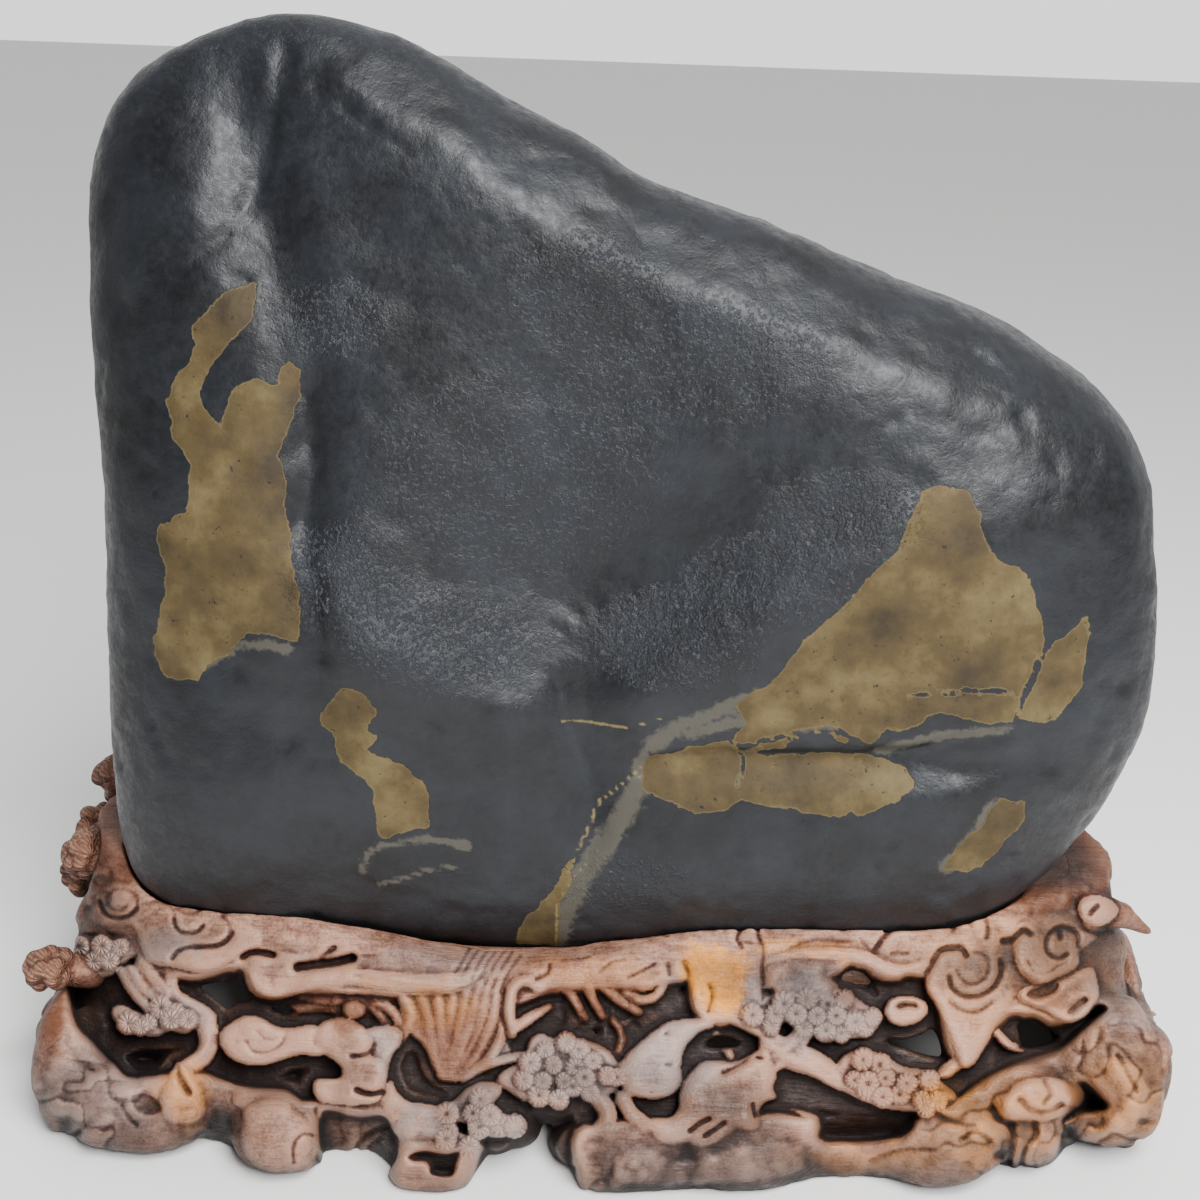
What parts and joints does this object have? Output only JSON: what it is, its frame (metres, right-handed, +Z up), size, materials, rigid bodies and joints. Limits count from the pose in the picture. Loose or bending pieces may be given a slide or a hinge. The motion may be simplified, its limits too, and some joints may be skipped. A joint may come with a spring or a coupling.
{
  "type": "scholars rock on stand",
  "caption": "Dark water-worn display stone with ochre inclusions, standing in the seat of a carved openwork root-wood stand.",
  "frame": {"origin": "on the surface it stands on, under the middle of the outer box of the stone and its stand", "axes": "+X to the right along the stand's length as seen from the front, +Y to the back through its depth, +Z up; the stone's worn face looks along -Y"},
  "size_m": [0.4376, 0.2054, 0.3928],
  "materials": {
    "stone": "satin, water-worn and waxed, with matt khaki inclusions",
    "carved_wood": "hand carved root wood, waxed satin on the high spots and dark in the recesses"
  },
  "bodies": {
    "root": {"stone": "stone", "stand": "carved_wood"}
  },
  "joints": []
}
